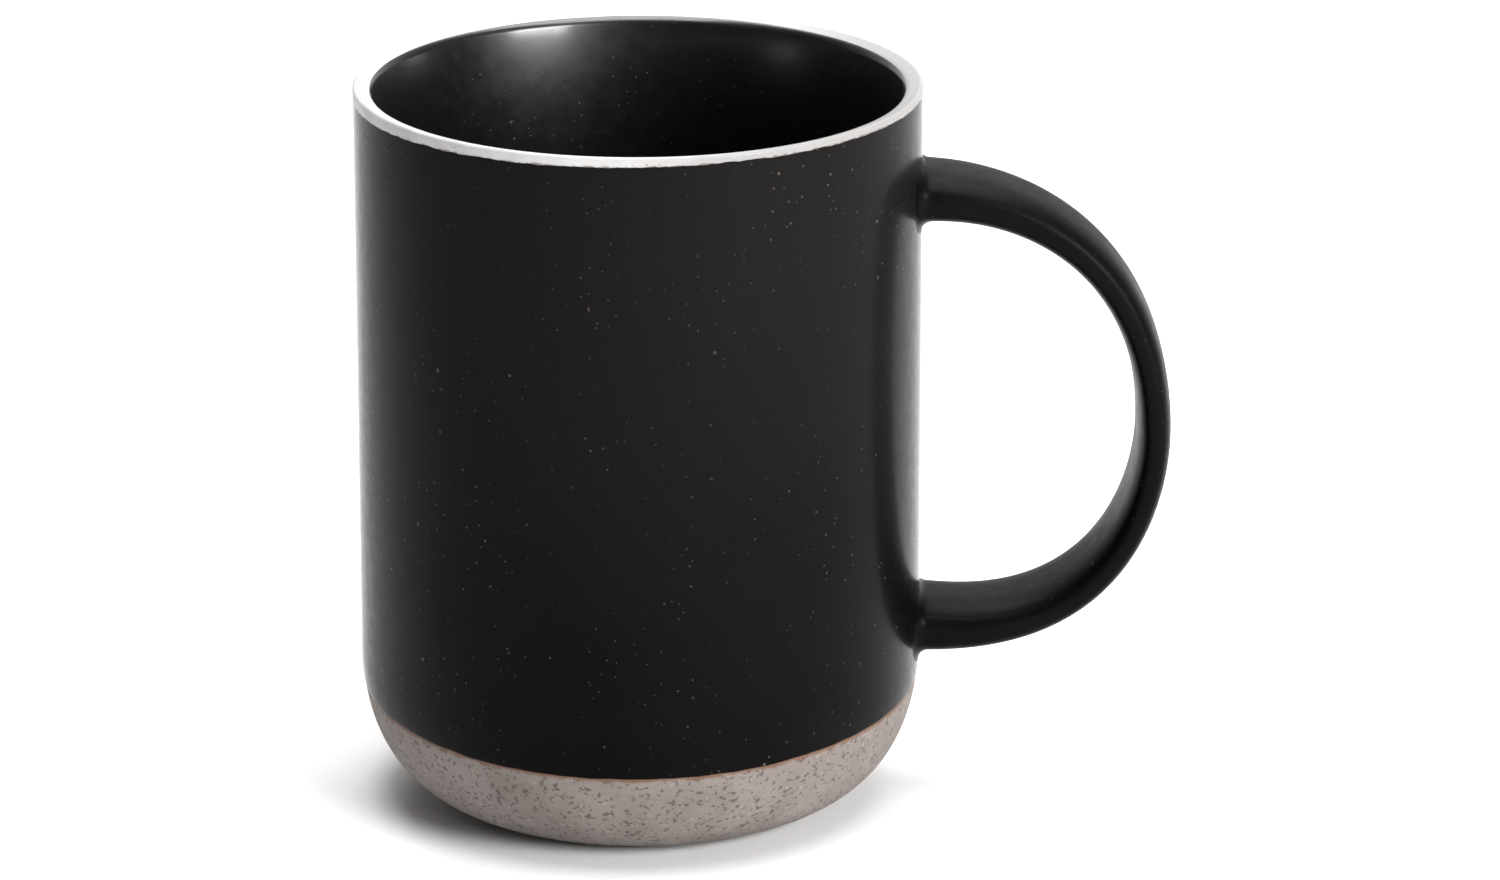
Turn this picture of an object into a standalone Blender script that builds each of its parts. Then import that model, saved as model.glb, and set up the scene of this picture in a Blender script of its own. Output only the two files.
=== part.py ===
"""Straight-sided stoneware mug with a rounded bare foot, dipped black glaze and a strap handle.

Frame: +Z up, origin at the middle of the flat foot, the handle on the +X side.
The glaze was dipped by hand, so its lower edge lies in a plane that dips slightly towards -Y.
"""

import math

import bmesh
import bpy
import numpy as np
from mathutils import Vector

MM = 0.001

# Driving dimensions of the finished mug, in metres.
HEIGHT = 112.0 * MM
OUTER_R = 42.75 * MM
GAP = 0.3 * MM          # left between pieces that touch on the real mug
GLAZE_T = 0.35 * MM     # thickness of a coat of glaze
SEGMENTS = 56           # facets round the mug

# Rounded foot: a superellipse quarter from the flat base up to the straight wall.
FOOT_R = 24.4 * MM
FOOT_CURVE_H = 23.4 * MM
FOOT_POWER = 2.19

# Lower edge of the black glaze: height on the axis, and its slope along X and Y.
DIP_Z = 19.4 * MM
DIP_SLOPE_X = 0.01
DIP_SLOPE_Y = 0.08

# White lip.
LIP_H = 1.3 * MM
LIP_W = 2.47 * MM
LIP_EDGE_R = 0.6 * MM

# Inside of the cup, measured at the surface of the liner.
LINER_TOP_Z = HEIGHT - 0.7 * MM
MOUTH_R = OUTER_R - LIP_W - GAP - GLAZE_T
CUP_R = 38.6 * MM
MOUTH_TAPER_Z = 92.0 * MM
MOUTH_TAPER_POWER = 1.6
CUP_FLOOR_Z = 7.0 * MM
CUP_FLOOR_R = 23.0 * MM
CUP_CURVE_H = 19.5 * MM

# Handle: a strap whose centre line is two Bezier curves that meet at its outermost point.
HANDLE_W = 18.4 * MM
HANDLE_SECTION_POWER = 3.0
HANDLE_T_APEX = 5.07 * MM
HANDLE_T_UPPER = 7.7 * MM
HANDLE_T_LOWER = 8.2 * MM
HANDLE_T_POWER = 2.7
HANDLE_STATIONS = 25
HANDLE_FACETS = 16
UPPER_ROOT_Z = 95.1 * MM
UPPER_REACH = 18.4 * MM
LOWER_ROOT_Z = 27.3 * MM
LOWER_REACH = 30.1 * MM
LOWER_ROOT_ANGLE = math.radians(-5.1)
APEX_X = 78.2 * MM
APEX_Z = 57.9 * MM
APEX_REACH_UP = 25.0 * MM
APEX_REACH_DOWN = 10.0 * MM

# Slip joints that lute the handle to the wall.
JOINT_LEN = 1.9 * MM
JOINT_FLARE = 1.7 * MM

CLAY_R = OUTER_R - GLAZE_T - GAP
LIP_BOTTOM_Z = HEIGHT - LIP_H
WALL_TOP_Z = LIP_BOTTOM_Z - GAP

BLACK_GLAZE = ((0.012, 0.011, 0.011), 0.3)
WHITE_GLAZE = ((0.82, 0.80, 0.78), 0.3)
STONEWARE = ((0.27, 0.22, 0.19), 0.85)


def remove_everything():
    for obj in list(bpy.data.objects):
        bpy.data.objects.remove(obj, do_unlink=True)


def make_material(name, look):
    colour, roughness = look
    material = bpy.data.materials.new(name)
    material.use_nodes = True
    shader = material.node_tree.nodes["Principled BSDF"]
    shader.inputs["Base Color"].default_value = (*colour, 1.0)
    shader.inputs["Roughness"].default_value = roughness
    shader.inputs["Metallic"].default_value = 0.0
    return material


def add_object(name, bm, look):
    """Turn a bmesh into a smooth-shaded object with a material of its own."""
    bmesh.ops.recalc_face_normals(bm, faces=bm.faces)
    mesh = bpy.data.meshes.new(name)
    bm.to_mesh(mesh)
    bm.free()
    mesh.shade_smooth()
    mesh.set_sharp_from_angle(angle=math.radians(35))
    obj = bpy.data.objects.new(name, mesh)
    bpy.context.scene.collection.objects.link(obj)
    if look is not None:
        obj.data.materials.append(make_material(name, look))
    return obj


def flat_cap(bm, ring):
    bm.faces.new(ring)


def strip_cap(bm, ring):
    """Close a ring with strips between points at the same Y, so the cap can follow the wall."""
    count = len(ring)
    for k in range(count // 2 - 1):
        bm.faces.new((ring[k], ring[k + 1], ring[count - 2 - k], ring[count - 1 - k]))


def loft(rings, closed=False, cap=flat_cap):
    """Skin a list of rings of points; closed joins the last ring to the first one."""
    bm = bmesh.new()
    loops = [[bm.verts.new(p) for p in ring] for ring in rings]
    pairs = list(zip(loops, loops[1:]))
    if closed:
        pairs.append((loops[-1], loops[0]))
    for low, high in pairs:
        for i in range(len(low)):
            j = (i + 1) % len(low)
            bm.faces.new((low[i], low[j], high[j], high[i]))
    if not closed:
        cap(bm, loops[0])
        cap(bm, loops[-1])
    return bm


# ---------------------------------------------------------------- turned body


def angles():
    return [2 * math.pi * i / SEGMENTS for i in range(SEGMENTS)]


def turned_ring(point_at):
    """One ring of the body; point_at gives (radius, height) for an angle."""
    ring = []
    for angle in angles():
        radius, height = point_at(angle)
        ring.append((radius * math.cos(angle), radius * math.sin(angle), height))
    return ring


def plain_ring(radius, height):
    return turned_ring(lambda angle: (radius, height))


def foot_point(phi, inset=0.0):
    """Point of the rounded foot: phi is 90 degrees at the base and 0 where the wall starts."""
    u = max(math.cos(phi), 0.0) ** (2 / FOOT_POWER)
    v = max(math.sin(phi), 0.0) ** (2 / FOOT_POWER)
    radius = FOOT_R + (OUTER_R - FOOT_R) * u
    height = FOOT_CURVE_H * (1 - v)
    normal = Vector((u ** (FOOT_POWER - 1) / (OUTER_R - FOOT_R), -(v ** (FOOT_POWER - 1)) / FOOT_CURVE_H))
    normal.normalize()
    return radius - inset * normal.x, height - inset * normal.y


def dip_phi(angle, rise):
    """Where the glaze edge, raised by rise, crosses the foot's curve at this angle."""
    reach = OUTER_R * (DIP_SLOPE_X * math.cos(angle) + DIP_SLOPE_Y * math.sin(angle))
    height = min(DIP_Z + reach + rise, FOOT_CURVE_H)
    return math.asin(((FOOT_CURVE_H - height) / FOOT_CURVE_H) ** (FOOT_POWER / 2))


def foot_rows(first, last, count, inset):
    """Rings between two phi functions of the angle, first and last included."""
    rows = []
    for k in range(count + 1):
        f = k / count
        rows.append(turned_ring(lambda a: foot_point(first(a) * (1 - f) + last(a) * f, inset)))
    return rows


def at_base(angle):
    return math.pi / 2


def at_wall(angle):
    return 0.0


def at_dip(angle):
    return dip_phi(angle, 0.0)


def above_dip(angle):
    return dip_phi(angle, GAP)


def cup_profile(inset):
    """Inside of the cup from the floor up to the mouth, moved outwards by inset."""
    points = []
    for k in range(7):
        phi = math.pi / 2 * (1 - k / 6)
        radius = CUP_FLOOR_R + (CUP_R - CUP_FLOOR_R) * math.cos(phi) ** (2 / FOOT_POWER)
        height = CUP_FLOOR_Z + CUP_CURVE_H * (1 - math.sin(phi) ** (2 / FOOT_POWER))
        points.append((radius + inset * math.cos(phi), height - inset * math.sin(phi)))
    for k in range(4):
        f = k / 3
        height = MOUTH_TAPER_Z + (LINER_TOP_Z - MOUTH_TAPER_Z) * f
        radius = CUP_R + (MOUTH_R - CUP_R) * f**MOUTH_TAPER_POWER
        points.append((radius + inset, height))
    return points


def make_clay_vessel():
    """Clay body: bare and full-sized below the dip line, set back under the glaze above it."""
    set_back = GLAZE_T + GAP
    rows = foot_rows(at_base, at_dip, 6, 0.0)
    rows += foot_rows(at_dip, at_wall, 3, set_back)
    rows.append(plain_ring(CLAY_R, WALL_TOP_Z))
    inside = cup_profile(GLAZE_T + GAP)
    inside[-1] = (inside[-1][0], WALL_TOP_Z)
    rows += [plain_ring(r, z) for r, z in reversed(inside)]
    return add_object("clay_vessel", loft(rows), STONEWARE)


def make_outer_glaze():
    """Black coat on the outside wall, with a window where each end of the handle is luted on."""
    outside = foot_rows(above_dip, at_wall, 3, 0.0) + [plain_ring(OUTER_R, WALL_TOP_Z)]
    inside = foot_rows(above_dip, at_wall, 3, GLAZE_T) + [plain_ring(OUTER_R - GLAZE_T, WALL_TOP_Z)]
    return add_object("outer_glaze", loft(outside + inside[::-1], closed=True), BLACK_GLAZE)


def make_liner_glaze():
    inside = [plain_ring(r, z) for r, z in cup_profile(0.0)]
    outside = [plain_ring(r, z) for r, z in cup_profile(GLAZE_T)]
    return add_object("liner_glaze", loft(outside + inside[::-1]), BLACK_GLAZE)


def make_white_lip():
    """White ring of glaze on the rim, with rounded upper edges."""
    inner_r = OUTER_R - LIP_W
    profile = [(inner_r, LIP_BOTTOM_Z), (OUTER_R, LIP_BOTTOM_Z)]
    for k in range(4):
        turn = math.pi / 2 * k / 3
        profile.append((
            OUTER_R - LIP_EDGE_R + LIP_EDGE_R * math.cos(turn),
            HEIGHT - LIP_EDGE_R + LIP_EDGE_R * math.sin(turn),
        ))
    for k in range(3):
        turn = math.pi / 2 * k / 2
        profile.append((
            inner_r + LIP_EDGE_R - LIP_EDGE_R * math.sin(turn),
            HEIGHT - LIP_EDGE_R + LIP_EDGE_R * math.cos(turn),
        ))
    return add_object("white_lip", loft([plain_ring(r, z) for r, z in profile], closed=True), WHITE_GLAZE)


# ---------------------------------------------------------------- handle


def bezier(p0, p1, p2, p3, count):
    points = []
    for k in range(count + 1):
        t = k / count
        points.append(
            (1 - t) ** 3 * p0 + 3 * (1 - t) ** 2 * t * p1 + 3 * (1 - t) * t**2 * p2 + t**3 * p3
        )
    return points


def handle_centre_line():
    """Fine points along the strap's middle, as (x, z), from the upper root to the lower one."""
    upper = np.array((OUTER_R, UPPER_ROOT_Z))
    lower = np.array((OUTER_R, LOWER_ROOT_Z))
    apex = np.array((APEX_X, APEX_Z))
    down_out = np.array((math.cos(LOWER_ROOT_ANGLE), math.sin(LOWER_ROOT_ANGLE)))
    first = bezier(upper, upper + (UPPER_REACH, 0), apex + (0, APEX_REACH_UP), apex, 200)
    second = bezier(apex, apex - (0, APEX_REACH_DOWN), lower + LOWER_REACH * down_out, lower, 200)
    return np.array(first + second[1:])


def strap_stations(distances):
    """Centre, outward normal and thickness of the strap at distances from its upper root.

    A negative distance is counted back from the lower root.
    """
    line = handle_centre_line()
    steps = np.linalg.norm(np.diff(line, axis=0), axis=1)
    run = np.concatenate(([0.0], np.cumsum(steps)))
    length = run[-1]
    tangent = np.gradient(line, run, axis=0)
    stations = []
    for distance in distances:
        s = distance if distance >= 0 else length + distance
        centre = [np.interp(s, run, line[:, i]) for i in (0, 1)]
        along = np.array([np.interp(s, run, tangent[:, i]) for i in (0, 1)])
        along /= np.linalg.norm(along)
        away = 2 * s / length - 1
        end_t = HANDLE_T_UPPER if away < 0 else HANDLE_T_LOWER
        thickness = HANDLE_T_APEX + (end_t - HANDLE_T_APEX) * abs(away) ** HANDLE_T_POWER
        stations.append((centre, (-along[1], along[0]), thickness))
    return stations


def strap_ring(station, inset):
    """Rounded-rectangle ring round the strap, drawn in by inset all round."""
    centre, normal, thickness = station
    power = 2 / HANDLE_SECTION_POWER
    ring = []
    for k in range(HANDLE_FACETS):
        turn = 2 * math.pi * (k + 0.5) / HANDLE_FACETS
        across = math.copysign(abs(math.cos(turn)) ** power, math.cos(turn)) * (HANDLE_W / 2 - inset)
        out = math.copysign(abs(math.sin(turn)) ** power, math.sin(turn)) * (thickness / 2 - inset)
        ring.append(Vector((centre[0] + normal[0] * out, across, centre[1] + normal[1] * out)))
    return ring


def strap_distances():
    line = handle_centre_line()
    length = float(np.linalg.norm(np.diff(line, axis=0), axis=1).sum())
    start = JOINT_LEN + GAP
    span = length - 2 * start
    return [start + span * k / (HANDLE_STATIONS - 1) for k in range(HANDLE_STATIONS)]


def make_handle():
    rings = [strap_ring(s, GLAZE_T + GAP) for s in strap_stations(strap_distances())]
    return add_object("handle", loft(rings), STONEWARE)


def make_handle_glaze():
    """Black coat round the strap, open at both ends."""
    stations = strap_stations(strap_distances())
    outside = [strap_ring(s, 0.0) for s in stations]
    inside = [strap_ring(s, GLAZE_T) for s in stations]
    return add_object("handle_glaze", loft(outside + inside[::-1], closed=True), BLACK_GLAZE)


def joint_ring(station, flare, wall_r):
    """Ring of a joint, widened by flare; wall_r lays it on the round wall."""
    ring = strap_ring(station, -flare)
    if wall_r is not None:
        for point in ring:
            point.x = math.sqrt(wall_r**2 - point.y**2)
    return ring


def make_joint(name, side):
    """Collar of slip between the wall and one end of the handle; side is 1 at the upper end."""
    reaches = ((0.55, 0.45), (0.75, 0.15), (1.0, 0.0))
    stations = strap_stations([side * JOINT_LEN * reach for reach, flare in reaches])
    root = strap_stations([side * 1e-6])[0]
    rings = [joint_ring(root, JOINT_FLARE, CLAY_R + GAP)]
    for station, (reach, flare) in zip(stations, reaches):
        rings.append(joint_ring(station, flare * JOINT_FLARE, None))
    return add_object(name, loft(rings, cap=strip_cap), BLACK_GLAZE)


def cut_window(coat, name, side):
    """Open the coat round a joint with a straight cutter along X."""
    root = strap_stations([side * 1e-6])[0]
    outline = joint_ring(root, JOINT_FLARE + GAP, None)
    rings = []
    for x in (OUTER_R - 5 * MM, OUTER_R + 3 * MM):
        rings.append([(x, point.y, point.z) for point in outline])
    cutter = add_object(name, loft(rings), None)
    cutter.hide_render = True
    cutter.display_type = "WIRE"
    cut = coat.modifiers.new(name, "BOOLEAN")
    cut.operation = "DIFFERENCE"
    cut.solver = "EXACT"
    cut.object = cutter


def main():
    remove_everything()
    make_clay_vessel()
    coat = make_outer_glaze()
    cut_window(coat, "upper_window_cutter", 1)
    cut_window(coat, "lower_window_cutter", -1)
    make_liner_glaze()
    make_white_lip()
    make_handle()
    make_handle_glaze()
    make_joint("upper_handle_joint", 1)
    make_joint("lower_handle_joint", -1)


main()
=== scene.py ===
import math

import bpy
import numpy as np
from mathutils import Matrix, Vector, noise


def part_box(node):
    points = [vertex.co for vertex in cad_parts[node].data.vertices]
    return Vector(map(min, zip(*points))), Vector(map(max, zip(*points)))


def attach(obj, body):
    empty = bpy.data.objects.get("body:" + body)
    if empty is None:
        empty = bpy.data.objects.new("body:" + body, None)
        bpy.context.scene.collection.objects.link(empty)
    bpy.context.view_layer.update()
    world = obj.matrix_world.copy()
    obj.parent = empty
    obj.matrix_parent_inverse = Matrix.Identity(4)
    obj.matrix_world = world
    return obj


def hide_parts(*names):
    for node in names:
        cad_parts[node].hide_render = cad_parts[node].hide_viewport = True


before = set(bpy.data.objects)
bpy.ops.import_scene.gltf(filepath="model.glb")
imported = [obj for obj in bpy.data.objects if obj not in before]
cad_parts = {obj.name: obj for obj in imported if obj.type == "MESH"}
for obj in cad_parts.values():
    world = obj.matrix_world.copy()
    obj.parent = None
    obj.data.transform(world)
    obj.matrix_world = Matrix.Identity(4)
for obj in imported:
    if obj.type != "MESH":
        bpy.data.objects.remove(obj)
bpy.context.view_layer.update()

# A stoneware mug: bare clay foot, dipped black glaze outside and in, white lip and a strap handle.
# Every length is in metres, in the frame of the CAD model.
MM = 0.001
OUTER_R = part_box("outer_glaze")[1].x
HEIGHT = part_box("white_lip")[1].z
LIP_BOTTOM_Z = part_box("white_lip")[0].z

SEGMENTS = 360
CREASE_ANGLE = math.radians(42)

# Rounded foot: a superellipse quarter from the resting ring up to the straight wall.
FOOT_R = 24.4 * MM
FOOT_CURVE_H = 23.4 * MM
FOOT_POWER = 2.19
FOOT_RECESS = 0.35 * MM
FOOT_RECESS_R = 19.5 * MM
FOOT_RECESS_ROWS = (4 * MM, 9 * MM, 14 * MM)

# Lower edge of the black glaze: height on the axis, slope along X and Y, and its hand-dipped waver.
DIP_Z = 19.4 * MM
DIP_SLOPE = (0.01, 0.08)
DIP_WAVER = 0.22 * MM
COAT_PROUD = 0.12 * MM
COAT_ROLL = 0.55 * MM
COAT_T = 0.35 * MM
# Depth of the coats' hidden backs, which sink a little less deep than the clay behind them.
COAT_BACK = COAT_T - 0.05 * MM
# Rows of the outer coat: distances above its edge, outside and at its back, then the level rows.
COAT_ROWS = (0.8 * MM, 1.2 * MM, 1.8 * MM, 2.6 * MM, 3.6 * MM, 5.0 * MM, 7.0 * MM)
COAT_BACK_ROWS = (5.0 * MM, 2.6 * MM, 0.8 * MM)
COAT_LEVEL_Z = FOOT_CURVE_H + 9 * MM

# Rim: a small arc over the outer edge, a bevel that falls inwards, then an arc down into the cup,
# which it meets leaning outwards.
RIM_OUTER_ARC = 0.45 * MM
RIM_BEVEL = math.radians(16.0)
RIM_INNER_ARC = 1.5 * MM
RIM_LEAN = math.radians(11.0)

# White lip: its lower edge outside slopes along X; inside it ends part of the way round the inner
# arc, at this radius and turn, and higher on the far side.
LIP_EDGE_Z = LIP_BOTTOM_Z - 0.15 * MM
LIP_SLOPE = 0.010
LIP_PROUD = 0.05 * MM
LIP_INNER_R = OUTER_R - 2.47 * MM
LIP_INNER_TURN = math.radians(44.0)
LIP_INNER_SWING = math.radians(26.0)
LIP_INNER_WAVER = math.radians(1.5)

# Top of the clay wall, which the lip covers.
CLAY_TOP_Z = LIP_BOTTOM_Z - 0.5 * MM

# Inside of the cup.
CUP_R = 38.6 * MM
CUP_TAPER_Z = 92.0 * MM
CUP_FLOOR_Z = 7.0 * MM
CUP_FLOOR_R = 23.0 * MM
CUP_FLOOR_ROWS = (3 * MM, 9 * MM, 16 * MM)
CUP_CURVE_H = 19.5 * MM

# Handle: centre line of two Bezier curves that meet at the outermost point.
HANDLE_W = 18.4 * MM
HANDLE_SECTION_POWER = 3.0
HANDLE_T_APEX = 5.07 * MM
HANDLE_T_UPPER = 7.7 * MM
HANDLE_T_LOWER = 8.2 * MM
HANDLE_T_POWER = 2.7
UPPER_ROOT_Z = 95.1 * MM
UPPER_REACH = 18.4 * MM
LOWER_ROOT_Z = 27.3 * MM
LOWER_REACH = 30.1 * MM
LOWER_ROOT_ANGLE = math.radians(-5.1)
APEX = (78.2 * MM, 57.9 * MM)
APEX_REACH_UP = 25.0 * MM
APEX_REACH_DOWN = 10.0 * MM
HANDLE_FACETS = 64
HANDLE_STATIONS = 110
# Radius of the fillets at the wall, how deep the ends sink into it, and how far along the strap its
# section still bends round the wall.
FILLET = 1.7 * MM
ROOT_DEPTH = 0.25 * MM
ROOT_HUG = 6.0 * MM

# Black glazes: base IOR, colour low down and high up (painted shade: darker low down, lighter
# high up), range of roughness, strength of the specks, and the weight, IOR and roughness of the coat.
OUTSIDE_GLAZE = {
    "ior": 1.088,
    "painted_shade_tones": ((0.0014, 0.0012, 0.0012), (0.0066, 0.0060, 0.0058)),
    "rough": (0.30, 0.37),
    "speckle": 0.85,
    "coat": (1.0, 1.070, 0.16),
}
HANDLE_GLAZE = {
    "ior": 1.125,
    "painted_shade_tones": ((0.0012, 0.0011, 0.0011), (0.0018, 0.0016, 0.0016)),
    "rough": (0.42, 0.50),
    "speckle": 0.7,
    "coat": (0.35, 1.07, 0.24),
}
INSIDE_GLAZE = {
    "ior": 1.50,
    "painted_shade_tones": ((0.0012, 0.0011, 0.0011), (0.0024, 0.0022, 0.0022)),
    "rough": (0.32, 0.38),
    "speckle": 0.5,
    "coat": (1.0, 1.37, 0.155),
}

# Camera: distance from a point on the axis, angle above the floor, aim, and a long lens in mm.
CAMERA_DISTANCE = 1.1182
CAMERA_RAISED = math.radians(17.83)
CAMERA_AXIS_Z = 0.055
CAMERA_TURN = math.radians(0.905)
CAMERA_DIP = math.radians(17.806)
SENSOR_WIDTH = 36.0
LENS = 176.16

# Soft lights: azimuth and elevation in degrees, distance, width and height in metres, and watts.
# Azimuth 0 is the camera's side and grows towards +X.
LIGHTS = {
    "key": (45, 20, 0.8, 0.36, 0.30, 8.4),
    "overhead": (80, 84, 1.0, 0.8, 0.8, 14.0),
    "back": (178, 56, 1.6, 1.4, 1.0, 15.0),
}
LIGHT_TARGET = Vector((0, 0, 0.06))

# Brightness of the surround: everywhere, and added straight behind the mug.
SURROUND_BASE = 0.08
SURROUND_BACK = 0.90
FLOOR_HALF_SIZE = 6.0
FLOOR_DROP = 0.02 * MM

# ---------------------------------------------------------------- turned shapes


def waver(angle, size, detail, seed):
    """Smooth periodic wander round the mug, at most size either way."""
    point = Vector((math.cos(angle) * detail, math.sin(angle) * detail, seed))
    return size * noise.noise(point)


def ring_angles():
    return np.linspace(0.0, 2 * math.pi, SEGMENTS, endpoint=False)


def foot_curve(phi, inset):
    """Radius and height on the rounded foot; phi is 90 degrees at the base, 0 at the wall."""
    u = max(math.cos(phi), 0.0) ** (2 / FOOT_POWER)
    v = max(math.sin(phi), 0.0) ** (2 / FOOT_POWER)
    along_r = u ** (FOOT_POWER - 1) / (OUTER_R - FOOT_R)
    along_z = v ** (FOOT_POWER - 1) / FOOT_CURVE_H
    size = math.hypot(along_r, along_z)
    radius = FOOT_R + (OUTER_R - FOOT_R) * u - inset * along_r / size
    return radius, FOOT_CURVE_H * (1 - v) + inset * along_z / size


def foot_phi(height):
    return math.asin(((FOOT_CURVE_H - min(height, FOOT_CURVE_H)) / FOOT_CURVE_H) ** (FOOT_POWER / 2))


def dip_height(angle):
    """Height of the glaze's lower edge at this angle."""
    slope = OUTER_R * (DIP_SLOPE[0] * math.cos(angle) + DIP_SLOPE[1] * math.sin(angle))
    fine = waver(angle, DIP_WAVER * 0.5, 14.0, 3.0)
    return DIP_Z + slope + waver(angle, DIP_WAVER, 2.2, 1.0) + fine


def mesh_from_rings(name, rings, closed, poles=(None, None)):
    """Skin rings of points; closed joins last to first, and a pole closes an open end."""
    count = len(rings[0])
    points = [tuple(p) for ring in rings for p in ring]
    faces = []
    pairs = [(k, k + 1) for k in range(len(rings) - 1)]
    if closed:
        pairs.append((len(rings) - 1, 0))
    for low, high in pairs:
        for i in range(count):
            j = (i + 1) % count
            faces.append((low * count + i, low * count + j, high * count + j, high * count + i))
    for pole, row, flip in ((poles[0], 0, True), (poles[1], len(rings) - 1, False)):
        if pole is None:
            continue
        tip = len(points)
        points.append(pole)
        for i in range(count):
            j = (i + 1) % count
            edge = (row * count + j, row * count + i) if flip else (row * count + i, row * count + j)
            faces.append((*edge, tip))
    mesh = bpy.data.meshes.new(name)
    mesh.from_pydata(points, [], faces)
    mesh.update()
    mesh.shade_smooth()
    mesh.set_sharp_from_angle(angle=CREASE_ANGLE)
    obj = bpy.data.objects.new(name, mesh)
    bpy.context.scene.collection.objects.link(obj)
    return obj


def turned(name, profile, closed, poles=(None, None)):
    """Lathe a profile: each row is a function of the angle that gives (radius, height)."""
    rings = []
    for row in profile:
        ring = []
        for angle in ring_angles():
            radius, height = row(angle)
            ring.append((radius * math.cos(angle), radius * math.sin(angle), height))
        rings.append(ring)
    return mesh_from_rings(name, rings, closed, poles)


def fixed(radius, height):
    return lambda angle: (radius, height)


def on_foot(share, inset, from_height=0.0, lift=0.0):
    """A row on the foot's curve, share of the way from a height up to the glaze edge."""

    def row(angle):
        start = foot_phi(from_height)
        end = foot_phi(dip_height(angle) + lift)
        return foot_curve(start + (end - start) * share, inset)

    return row


def above_dip(distance, inset):
    """A row at a distance above the glaze edge, on the foot's curve or the wall."""

    def row(angle):
        height = dip_height(angle) + distance
        if height >= FOOT_CURVE_H:
            return OUTER_R - inset, height
        return foot_curve(foot_phi(height), inset)

    return row


def cup_curve(inset):
    """Inside profile of the cup from its floor up to the start of the rim's arc."""
    rows = []
    for k in range(1, 25):
        phi = math.pi / 2 * (1 - k / 24)
        u = math.cos(phi) ** (2 / FOOT_POWER)
        v = math.sin(phi) ** (2 / FOOT_POWER)
        radius = CUP_FLOOR_R + (CUP_R - CUP_FLOOR_R) * u + inset * math.cos(phi)
        rows.append((radius, CUP_FLOOR_Z + CUP_CURVE_H * (1 - v) - inset * math.sin(phi)))
    wall_z = CUP_FLOOR_Z + CUP_CURVE_H
    for k in range(1, 9):
        rows.append((CUP_R + inset, wall_z + (CUP_TAPER_Z - wall_z) * k / 8))
    arc_r, arc_z = rim_inner_arc(math.pi / 2 - RIM_LEAN, 0.0)
    power = math.tan(RIM_LEAN) * (arc_z - CUP_TAPER_Z) / (arc_r - CUP_R)
    for k in range(1, 17):
        f = k / 16
        radius = CUP_R + (arc_r - CUP_R) * f**power + inset
        rows.append((radius, CUP_TAPER_Z + (arc_z - CUP_TAPER_Z) * f))
    return rows


def rim_inner_arc(turn, inset):
    """Point on the inner arc of the rim; turn is 0 at its top and 90 degrees at its inner side."""
    bevel_r = OUTER_R - RIM_OUTER_ARC * (1 + math.sin(RIM_BEVEL))
    bevel_z = HEIGHT - RIM_OUTER_ARC * (1 - math.cos(RIM_BEVEL))
    centre_r = LIP_INNER_R + RIM_INNER_ARC * math.sin(LIP_INNER_TURN)
    run = bevel_r - centre_r + RIM_INNER_ARC * math.sin(RIM_BEVEL)
    centre_z = bevel_z - run * math.tan(RIM_BEVEL) - RIM_INNER_ARC * math.cos(RIM_BEVEL)
    reach = RIM_INNER_ARC - inset
    return centre_r - reach * math.sin(turn), centre_z + reach * math.cos(turn)


def liner_edge(angle):
    """Turn on the inner arc where the white lip ends and the black liner starts."""
    return LIP_INNER_TURN - LIP_INNER_SWING * math.sin(angle) + waver(angle, LIP_INNER_WAVER, 6.0, 7.0)


def lip_side(share, inset):
    """A row on the inner arc, share of the way from the bevel to the liner's edge."""
    return lambda angle: rim_inner_arc(RIM_BEVEL + (liner_edge(angle) - RIM_BEVEL) * share, inset)


def cup_side(share, inset):
    """A row on the inner arc, share of the way from the liner's edge to the cup's wall."""

    def row(angle):
        start = liner_edge(angle)
        return rim_inner_arc(start + (math.pi / 2 - RIM_LEAN - start) * share, inset)

    return row


def make_clay_body():
    """Clay vessel: what shows is the bare foot, and the rest backs the glazes."""
    rows = [fixed(r, FOOT_RECESS) for r in FOOT_RECESS_ROWS]
    rows += [fixed(FOOT_RECESS_R - 0.4 * MM, FOOT_RECESS), fixed(FOOT_RECESS_R, FOOT_RECESS * 0.7)]
    rows += [fixed(FOOT_RECESS_R + 0.3 * MM, 0.05 * MM), fixed(FOOT_RECESS_R + 0.7 * MM, 0.0)]
    rows += [fixed(FOOT_R - 1.6 * MM, 0.0)]
    rows += [on_foot(k / 40, COAT_PROUD) for k in range(1, 41)]
    rows += [above_dip(0.4 * MM, COAT_PROUD), above_dip(0.6 * MM, COAT_T)]
    rows += [fixed(OUTER_R - COAT_T, z) for z in (FOOT_CURVE_H + 4 * MM, CLAY_TOP_Z)]
    rows += [fixed(r, min(z, CLAY_TOP_Z)) for r, z in reversed(cup_curve(COAT_T))]
    return turned("stoneware_body", rows, False, ((0, 0, FOOT_RECESS), (0, 0, CUP_FLOOR_Z - COAT_T)))


def make_outer_coat():
    """Black glaze on the outside, with a rolled lower edge that stands a little proud."""
    rows = []
    for k in range(9):
        f = k / 8
        rise = math.sqrt(1 - (1 - f) ** 2)
        rows.append(above_dip(COAT_ROLL * f, COAT_PROUD * (1.05 - 1.05 * rise)))
    rows += [above_dip(distance, 0.0) for distance in COAT_ROWS]
    start = COAT_LEVEL_Z
    top = LIP_BOTTOM_Z + 0.25 * MM
    rows += [fixed(OUTER_R, start + (top - start) * k / 24) for k in range(25)]
    rows += [fixed(OUTER_R - COAT_BACK, top), fixed(OUTER_R - COAT_BACK, start)]
    rows += [above_dip(distance, COAT_BACK) for distance in COAT_BACK_ROWS]
    return turned("outer_black_glaze", rows, True)


def lip_edge(angle):
    """Wavering lower boundary of the white lip, dipped a little deeper on the -X side."""
    mean = LIP_EDGE_Z + LIP_SLOPE * OUTER_R * math.cos(angle)
    return mean + waver(angle, 0.16 * MM, 9.0, 5.0) + waver(angle, 0.14 * MM, 34.0, 6.0)


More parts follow.
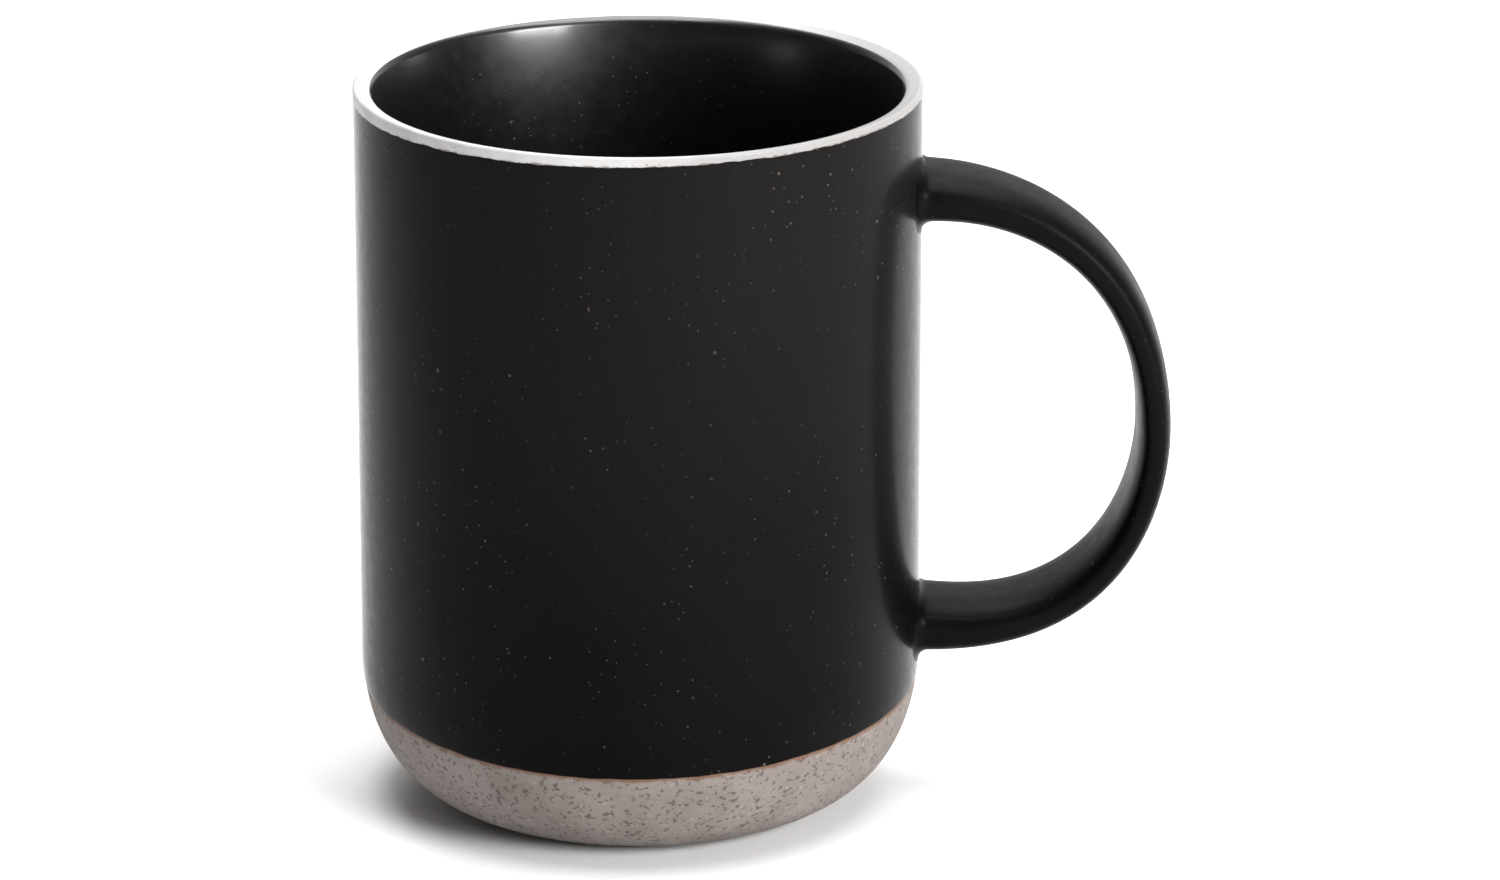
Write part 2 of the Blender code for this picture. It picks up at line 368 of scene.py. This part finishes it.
def make_lip():
    """White glaze over the rim, from its wavering outer edge to the start of the liner."""
    rows = []
    arc_z = HEIGHT - RIM_OUTER_ARC
    arc_r = OUTER_R - RIM_OUTER_ARC
    rows.append(lambda a: (OUTER_R - COAT_T, lip_edge(a)))
    rows.append(lambda a: (OUTER_R - 0.02 * MM, lip_edge(a)))
    rows.append(lambda a: (OUTER_R + LIP_PROUD * 0.7, lip_edge(a) + 0.04 * MM))
    rows.append(lambda a: (OUTER_R + LIP_PROUD, lip_edge(a) + 0.12 * MM))
    rows.append(lambda a: (OUTER_R + LIP_PROUD, lip_edge(a) + 0.40 * MM))
    for k in range(13):
        turn = (math.pi / 2 + RIM_BEVEL) * k / 12
        reach = RIM_OUTER_ARC + LIP_PROUD * max(math.cos(turn), 0.0)
        rows.append(fixed(arc_r + reach * math.cos(turn), arc_z + RIM_OUTER_ARC * math.sin(turn)))
    rows += [lip_side(k / 8, 0.0) for k in range(9)]
    rows += [lip_side(1 - k / 4, COAT_T) for k in range(5)]
    rows.append(fixed(arc_r, arc_z))
    return turned("white_lip_glaze", rows, True)


def make_liner():
    """Black glaze inside the cup, up over the inner side of the rim."""
    rows = [fixed(r, CUP_FLOOR_Z) for r in CUP_FLOOR_ROWS]
    rows += [fixed(r, z) for r, z in cup_curve(0.0)[:-1]]
    rows += [cup_side(1 - k / 14, 0.0) for k in range(15)]
    rows += [cup_side(k / 8, COAT_BACK) for k in range(9)]
    rows += [fixed(r, z) for r, z in cup_curve(COAT_BACK)[-2::-1]]
    back_z = CUP_FLOOR_Z - COAT_BACK
    rows += [fixed(CUP_FLOOR_ROWS[-1], back_z), fixed(CUP_FLOOR_ROWS[0], back_z)]
    poles = ((0, 0, CUP_FLOOR_Z), (0, 0, back_z))
    return turned("inner_black_glaze", rows[::-1], False, poles[::-1])


# ---------------------------------------------------------------- handle


def bezier(p0, p1, p2, p3, count):
    t = np.linspace(0.0, 1.0, count + 1)[:, None]
    return (1 - t) ** 3 * p0 + 3 * (1 - t) ** 2 * t * p1 + 3 * (1 - t) * t**2 * p2 + t**3 * p3


def handle_line():
    """Fine points along the strap's middle, as (x, z), from the upper root to the lower one."""
    upper = np.array((OUTER_R, UPPER_ROOT_Z))
    lower = np.array((OUTER_R, LOWER_ROOT_Z))
    apex = np.array(APEX)
    outwards = np.array((math.cos(LOWER_ROOT_ANGLE), math.sin(LOWER_ROOT_ANGLE)))
    first = bezier(upper, upper + (UPPER_REACH, 0), apex + (0, APEX_REACH_UP), apex, 400)
    second = bezier(apex, apex - (0, APEX_REACH_DOWN), lower + LOWER_REACH * outwards, lower, 400)
    return np.concatenate((first, second[1:]))


def handle_distances(length):
    """Places along the strap: close together in the fillets at both walls."""
    near = [FILLET * (1 - math.cos(math.pi / 2 * k / 10)) for k in range(11)]
    near = [-ROOT_DEPTH] + near + [FILLET + 0.6 * MM * k for k in range(1, 6)]
    middle = np.linspace(near[-1], length - near[-1], HANDLE_STATIONS)[1:-1]
    return near + list(middle) + [length - d for d in reversed(near)]


def fillet_flare(distance):
    """How far the fillet spreads at this distance from the wall."""
    if distance >= FILLET:
        return 0.0
    reach = 1 - max(distance, 0.0) / FILLET
    return FILLET * (1 - math.sqrt(1 - reach**2))


def make_handle():
    """Glazed strap: a rounded section swept along the centre line, spreading into both fillets."""
    line = handle_line()
    run = np.concatenate(([0.0], np.cumsum(np.linalg.norm(np.diff(line, axis=0), axis=1))))
    length = run[-1]
    tangent = np.gradient(line, run, axis=0)
    power = 2 / HANDLE_SECTION_POWER
    rings = []
    for distance in handle_distances(length):
        s = min(max(distance, 0.0), length)
        centre = np.array([np.interp(s, run, line[:, i]) for i in (0, 1)])
        along = np.array([np.interp(s, run, tangent[:, i]) for i in (0, 1)])
        along /= np.linalg.norm(along)
        beyond = distance - s
        centre = centre + along * beyond
        away = 2 * s / length - 1
        end_t = HANDLE_T_UPPER if away < 0 else HANDLE_T_LOWER
        thickness = HANDLE_T_APEX + (end_t - HANDLE_T_APEX) * abs(away) ** HANDLE_T_POWER
        to_wall = min(distance, length - distance)
        flare = fillet_flare(to_wall)
        hug = 1 - smooth_step(to_wall, 0.0, ROOT_HUG)
        ring = []
        for k in range(HANDLE_FACETS):
            turn = 2 * math.pi * (k + 0.5) / HANDLE_FACETS
            cos_t, sin_t = math.cos(turn), math.sin(turn)
            across = math.copysign(abs(cos_t) ** power, cos_t) * (HANDLE_W / 2 + flare)
            out = math.copysign(abs(sin_t) ** power, sin_t) * (thickness / 2 + flare)
            drop = OUTER_R - math.sqrt(OUTER_R**2 - across**2)
            lean = along[1] * out * (1 - hug)
            ring.append((centre[0] - lean - drop * hug, across, centre[1] + along[0] * out))
        rings.append(ring)
    tips = []
    for ring in (rings[0], rings[-1]):
        tips.append(tuple(np.mean(ring, axis=0)))
    return mesh_from_rings("handle_black_glaze", rings, False, tuple(tips))


def smooth_step(value, low, high):
    f = min(max((value - low) / (high - low), 0.0), 1.0)
    return f * f * (3 - 2 * f)


# ---------------------------------------------------------------- materials


class Shader:
    """A Principled material and short ways to add nodes to it."""

    def __init__(self, name):
        self.material = bpy.data.materials.new(name)
        self.material.use_nodes = True
        self.tree = self.material.node_tree
        self.bsdf = self.tree.nodes["Principled BSDF"]
        self.place = self.tree.nodes.new("ShaderNodeTexCoord").outputs["Object"]

    def set(self, **values):
        for key, value in values.items():
            self.bsdf.inputs[key.replace("_", " ")].default_value = value

    def link(self, source, target):
        self.tree.links.new(source, target)

    def feed(self, socket, value):
        if isinstance(value, (int, float, tuple)):
            socket.default_value = value
        else:
            self.link(value, socket)

    def noise(self, scale, detail=2.0, roughness=0.5, place=None):
        node = self.tree.nodes.new("ShaderNodeTexNoise")
        node.inputs["Scale"].default_value = scale
        node.inputs["Detail"].default_value = detail
        node.inputs["Roughness"].default_value = roughness
        self.link(place or self.place, node.inputs["Vector"])
        return node.outputs["Fac"]

    def shifted(self, distance):
        """The object coordinates moved along, so that a second noise differs from the first."""
        node = self.tree.nodes.new("ShaderNodeVectorMath")
        self.link(self.place, node.inputs[0])
        node.inputs[1].default_value = (distance, distance, distance)
        return node.outputs["Vector"]

    def cells(self, scale):
        """Distance to the nearest cell point, and two random numbers for each cell."""
        node = self.tree.nodes.new("ShaderNodeTexVoronoi")
        node.inputs["Scale"].default_value = scale
        self.link(self.place, node.inputs["Vector"])
        split = self.tree.nodes.new("ShaderNodeSeparateColor")
        self.link(node.outputs["Color"], split.inputs["Color"])
        return node.outputs["Distance"], split.outputs["Red"], split.outputs["Green"]

    def math(self, operation, a, b=0.0):
        node = self.tree.nodes.new("ShaderNodeMath")
        node.operation = operation
        self.feed(node.inputs[0], a)
        self.feed(node.inputs[1], b)
        return node.outputs[0]

    def ramp(self, value, low, high, to_low=0.0, to_high=1.0):
        """Map low..high to to_low..to_high with a smooth step."""
        node = self.tree.nodes.new("ShaderNodeMapRange")
        node.interpolation_type = "SMOOTHSTEP"
        self.feed(node.inputs["Value"], value)
        limits = {"From Min": low, "From Max": high, "To Min": to_low, "To Max": to_high}
        for key, number in limits.items():
            self.feed(node.inputs[key], number)
        return node.outputs["Result"]

    def mix(self, share, a, b):
        node = self.tree.nodes.new("ShaderNodeMix")
        node.data_type = "RGBA"
        self.feed(node.inputs["Factor"], share)
        self.feed(node.inputs["A"], a)
        self.feed(node.inputs["B"], b)
        return node.outputs["Result"]

    def specks(self, spacing, radius, share):
        """Mask of round specks: spacing and radius in metres, share is how many cells have one."""
        scale = 1 / spacing
        distance, chance, size = self.cells(scale)
        reach = self.ramp(size, 0.0, 1.0, radius * scale * 0.5, radius * scale)
        inside = self.math("SUBTRACT", reach, distance)
        dot = self.ramp(inside, 0.0, radius * scale * 0.35)
        chosen = self.math("LESS_THAN", chance, share)
        return self.math("MULTIPLY", dot, chosen)

    def xyz(self):
        split = self.tree.nodes.new("ShaderNodeSeparateXYZ")
        self.link(self.place, split.inputs[0])
        return split.outputs

    def bump(self, height, distance, before=None):
        node = self.tree.nodes.new("ShaderNodeBump")
        node.inputs["Distance"].default_value = distance
        node.inputs["Strength"].default_value = 1.0
        self.link(height, node.inputs["Height"])
        if before is not None:
            self.link(before, node.inputs["Normal"])
        return node.outputs["Normal"]

    def finish(self, colour, roughness, normal):
        self.link(colour, self.bsdf.inputs["Base Color"])
        self.link(roughness, self.bsdf.inputs["Roughness"])
        self.link(normal, self.bsdf.inputs["Normal"])
        return self.material


def rgb(red, green, blue):
    return (red, green, blue, 1.0)


def black_glaze(name, ior, painted_shade_tones, rough, speckle, coat):
    """Satin black glaze: painted shade, darker low down and lighter high up, with pale specks, small
    pits and a faint orange peel.
    """
    s = Shader(name)
    s.set(IOR=ior, Coat_Weight=coat[0], Coat_IOR=coat[1], Coat_Roughness=coat[2])
    z = s.xyz()["Z"]
    # Painted shade: the colour runs from the darker tone low down to the lighter tone high up.
    high = s.ramp(z, 15.0 * MM, 100.0 * MM)
    base = s.mix(high, rgb(*painted_shade_tones[0]), rgb(*painted_shade_tones[1]))
    drift = s.ramp(s.noise(30.0, 3.0, 0.55), 0.3, 0.7)
    base = s.mix(s.math("MULTIPLY", drift, 0.25), base, rgb(0.0072, 0.0060, 0.0056))
    crowd = s.ramp(s.noise(48.0, 2.0), 0.36, 0.64, 0.15, 1.0)
    fine = s.math("MULTIPLY", s.specks(1.35 * MM, 0.22 * MM, 0.8), crowd)
    coarse = s.math("MULTIPLY", s.specks(3.4 * MM, 0.33 * MM, 0.45), crowd)
    hue = s.ramp(s.noise(700.0, 0.0), 0.4, 0.6)
    pale = s.mix(hue, rgb(0.115, 0.100, 0.080), rgb(0.095, 0.108, 0.095))
    colour = s.mix(s.math("MULTIPLY", fine, 0.5 * speckle), base, pale)
    colour = s.mix(s.math("MULTIPLY", coarse, 0.7 * speckle), colour, pale)
    pits = s.specks(2.6 * MM, 0.22 * MM, 0.5)
    colour = s.mix(pits, colour, rgb(0.001, 0.001, 0.001))
    roughness = s.ramp(s.noise(420.0, 3.0), 0.3, 0.7, *rough)
    normal = s.bump(s.noise(520.0, 1.0), 0.0025 * MM)
    normal = s.bump(s.noise(60.0, 1.0), 0.012 * MM, normal)
    raised = s.math("SUBTRACT", s.math("MAXIMUM", fine, coarse), pits)
    normal = s.bump(raised, 0.03 * MM, normal)
    return s.finish(colour, roughness, normal)


def bare_stoneware():
    """Bare fired clay: warm taupe, irregular dark specks, an orange flash under the glaze edge."""
    s = Shader("bare_stoneware")
    tone = s.ramp(s.noise(110.0, 3.0, 0.6), 0.3, 0.7)
    colour = s.mix(tone, rgb(0.158, 0.132, 0.117), rgb(0.212, 0.184, 0.168))
    grain = s.ramp(s.noise(2200.0, 2.0, 0.7), 0.35, 0.65)
    colour = s.mix(s.math("MULTIPLY", grain, 0.30), colour, rgb(0.26, 0.232, 0.212))
    flecks = s.ramp(s.noise(1200.0, 2.0, 0.6), 0.57, 0.63)
    colour = s.mix(s.math("MULTIPLY", flecks, 0.68), colour, rgb(0.046, 0.034, 0.028))
    blots = s.ramp(s.noise(620.0, 2.0, 0.6), 0.65, 0.70)
    colour = s.mix(s.math("MULTIPLY", blots, 0.55), colour, rgb(0.055, 0.042, 0.036))
    pale = s.ramp(s.noise(900.0, 1.0, 0.5, s.shifted(0.3)), 0.66, 0.74)
    colour = s.mix(s.math("MULTIPLY", pale, 0.45), colour, rgb(0.31, 0.275, 0.25))
    x, y, z = s.xyz()
    slope = s.math("ADD", s.math("MULTIPLY", x, DIP_SLOPE[0]), s.math("MULTIPLY", y, DIP_SLOPE[1]))
    below = s.math("SUBTRACT", s.math("ADD", slope, DIP_Z), z)
    ragged = s.ramp(s.noise(500.0, 2.0), 0.3, 0.7, -0.2 * MM, 0.2 * MM)
    flash = s.ramp(s.math("ADD", below, ragged), 0.15 * MM, 0.75 * MM, 1.0, 0.0)
    colour = s.mix(s.math("MULTIPLY", flash, 0.85), colour, rgb(0.135, 0.058, 0.026))
    rough = s.ramp(grain, 0.0, 1.0, 0.72, 0.92)
    height = s.math("SUBTRACT", s.noise(1100.0, 3.0, 0.6), s.math("MULTIPLY", flecks, 0.6))
    normal = s.bump(height, 0.05 * MM)
    return s.finish(colour, rough, normal)


def white_glaze():
    """White lip glaze with painted shade, greyer towards the handle and most at its front, with a
    brown, flecked edge.
    """
    s = Shader("white_lip_glaze")
    s.set(IOR=1.45)
    tone = s.ramp(s.noise(300.0, 3.0), 0.35, 0.65)
    colour = s.mix(tone, rgb(0.475, 0.463, 0.455), rgb(0.53, 0.525, 0.52))
    x, y, z = s.xyz()
    # Painted shade: the lip's colour greys towards +X, the handle's side, and most at the front on
    # that side.
    painted_shade_handle_side = s.ramp(s.math("SUBTRACT", x, s.math("MULTIPLY", y, 0.25)), -2.0 * MM, 30.0 * MM)
    colour = s.mix(s.math("MULTIPLY", painted_shade_handle_side, 0.9), colour, rgb(0.315, 0.307, 0.303))
    painted_shade_front = s.ramp(s.math("SUBTRACT", x, y), 42.0 * MM, 58.0 * MM)
    colour = s.mix(s.math("MULTIPLY", painted_shade_front, 0.6), colour, rgb(0.235, 0.228, 0.224))
    outside = s.math("SQRT", s.math("ADD", s.math("MULTIPLY", x, x), s.math("MULTIPLY", y, y)))
    outside = s.ramp(outside, OUTER_R - 0.9 * MM, OUTER_R - 0.3 * MM)
    ragged = s.ramp(s.noise(900.0, 3.0, 0.6), 0.3, 0.7, -0.16 * MM, 0.16 * MM)
    edge = s.math("ADD", s.math("MULTIPLY", x, LIP_SLOPE), LIP_EDGE_Z)
    above = s.math("ADD", s.math("SUBTRACT", z, edge), ragged)
    low = s.math("MULTIPLY", s.ramp(above, 0.02 * MM, 0.26 * MM, 1.0, 0.0), outside)
    colour = s.mix(s.math("MULTIPLY", low, 0.75), colour, rgb(0.07, 0.036, 0.024))
    flecks = s.specks(0.95 * MM, 0.17 * MM, 0.5)
    flecks = s.math("MULTIPLY", flecks, s.ramp(z, HEIGHT - 0.9 * MM, HEIGHT - 0.3 * MM, 0.75, 0.15))
    colour = s.mix(s.math("MULTIPLY", flecks, outside), colour, rgb(0.14, 0.10, 0.085))
    rough = s.ramp(s.noise(500.0, 2.0), 0.3, 0.7, 0.34, 0.48)
    normal = s.bump(s.noise(600.0, 3.0), 0.03 * MM)
    return s.finish(colour, rough, normal)


# ---------------------------------------------------------------- stage


def aim(obj, target):
    obj.rotation_mode = "QUATERNION"
    obj.rotation_quaternion = (target - obj.location).to_track_quat("-Z", "Y")


def make_camera():
    """Camera in front of the mug and above it, with a long lens."""
    data = bpy.data.cameras.new("camera")
    data.sensor_width = SENSOR_WIDTH
    data.lens = LENS
    data.clip_start = 0.05
    data.clip_end = 50.0
    camera = bpy.data.objects.new("camera", data)
    bpy.context.scene.collection.objects.link(camera)
    back = CAMERA_DISTANCE * math.cos(CAMERA_RAISED)
    camera.location = (0.0, -back, CAMERA_AXIS_Z + CAMERA_DISTANCE * math.sin(CAMERA_RAISED))
    forward = Vector((
        math.sin(CAMERA_TURN) * math.cos(CAMERA_DIP),
        math.cos(CAMERA_TURN) * math.cos(CAMERA_DIP),
        -math.sin(CAMERA_DIP),
    ))
    camera.rotation_mode = "QUATERNION"
    camera.rotation_quaternion = forward.to_track_quat("-Z", "Y")
    bpy.context.scene.camera = camera


def soft_light(name, azimuth, elevation, distance, width, height, power):
    """Rectangular area light, aimed at the middle of the mug."""
    data = bpy.data.lights.new(name, "AREA")
    data.shape = "RECTANGLE"
    data.size = width
    data.size_y = height
    data.energy = power
    light = bpy.data.objects.new(name, data)
    a, e = math.radians(azimuth), math.radians(elevation)
    light.location = LIGHT_TARGET + distance * Vector((
        math.sin(a) * math.cos(e),
        -math.cos(a) * math.cos(e),
        math.sin(e),
    ))
    bpy.context.scene.collection.objects.link(light)
    aim(light, LIGHT_TARGET)


def make_stage():
    """Pale floor with a faint tone drift, under the surround."""
    size = FLOOR_HALF_SIZE
    mesh = bpy.data.meshes.new("floor")
    corners = [(-size, -size, 0), (size, -size, 0), (size, size, 0), (-size, size, 0)]
    mesh.from_pydata(corners, [], [(0, 1, 2, 3)])
    floor = bpy.data.objects.new("floor", mesh)
    bpy.context.scene.collection.objects.link(floor)
    floor.location.z = -FLOOR_DROP
    s = Shader("floor")
    tone = s.noise(3.0, 2.0)
    colour = s.mix(tone, rgb(0.90, 0.90, 0.90), rgb(0.92, 0.92, 0.92))
    s.link(colour, s.bsdf.inputs["Base Color"])
    s.set(Roughness=0.9, IOR=1.2)
    mesh.materials.append(s.material)
    bpy.context.scene.world = make_surround()
    bpy.context.scene.view_settings.view_transform = "Standard"


def make_surround():
    """Dim surround that brightens smoothly behind the mug."""
    world = bpy.data.worlds.new("surround")
    world.use_nodes = True
    tree = world.node_tree
    split = tree.nodes.new("ShaderNodeSeparateXYZ")
    tree.links.new(tree.nodes.new("ShaderNodeTexCoord").outputs["Generated"], split.inputs[0])
    glow = split.outputs["Y"]
    steps = (("MAXIMUM", 0.0), ("POWER", 2.0), ("MULTIPLY", SURROUND_BACK), ("ADD", SURROUND_BASE))
    for operation, value in steps:
        node = tree.nodes.new("ShaderNodeMath")
        node.operation = operation
        node.inputs[1].default_value = value
        tree.links.new(glow, node.inputs[0])
        glow = node.outputs[0]
    tree.links.new(glow, tree.nodes["Background"].inputs["Strength"])
    tree.nodes["Background"].inputs["Color"].default_value = (1.0, 1.0, 1.0, 1.0)
    return world


def dress(piece, material, slot, *nodes):
    """Give a piece its material and tie it to the frame."""
    piece.data.materials.append(material)
    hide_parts(*nodes)
    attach(piece, "root")


def main():
    make_camera()
    outside_black = black_glaze("black_glaze_outside", **OUTSIDE_GLAZE)
    handle_black = black_glaze("black_glaze_handle", **HANDLE_GLAZE)
    inside_black = black_glaze("black_glaze_inside", **INSIDE_GLAZE)
    clay = bare_stoneware()
    dress(make_clay_body(), clay, "bare_stoneware", "clay_vessel")
    dress(make_outer_coat(), outside_black, "black_glaze", "outer_glaze")
    dress(make_liner(), inside_black, "black_glaze", "liner_glaze")
    dress(make_lip(), white_glaze(), "white_glaze", "white_lip")
    handle_nodes = ("handle_glaze", "upper_handle_joint", "lower_handle_joint")
    dress(make_handle(), handle_black, "black_glaze", *handle_nodes)
    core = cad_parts["handle"]
    for slot in core.material_slots:
        slot.material = clay
    make_stage()
    for name, values in LIGHTS.items():
        soft_light(name, *values)


main()
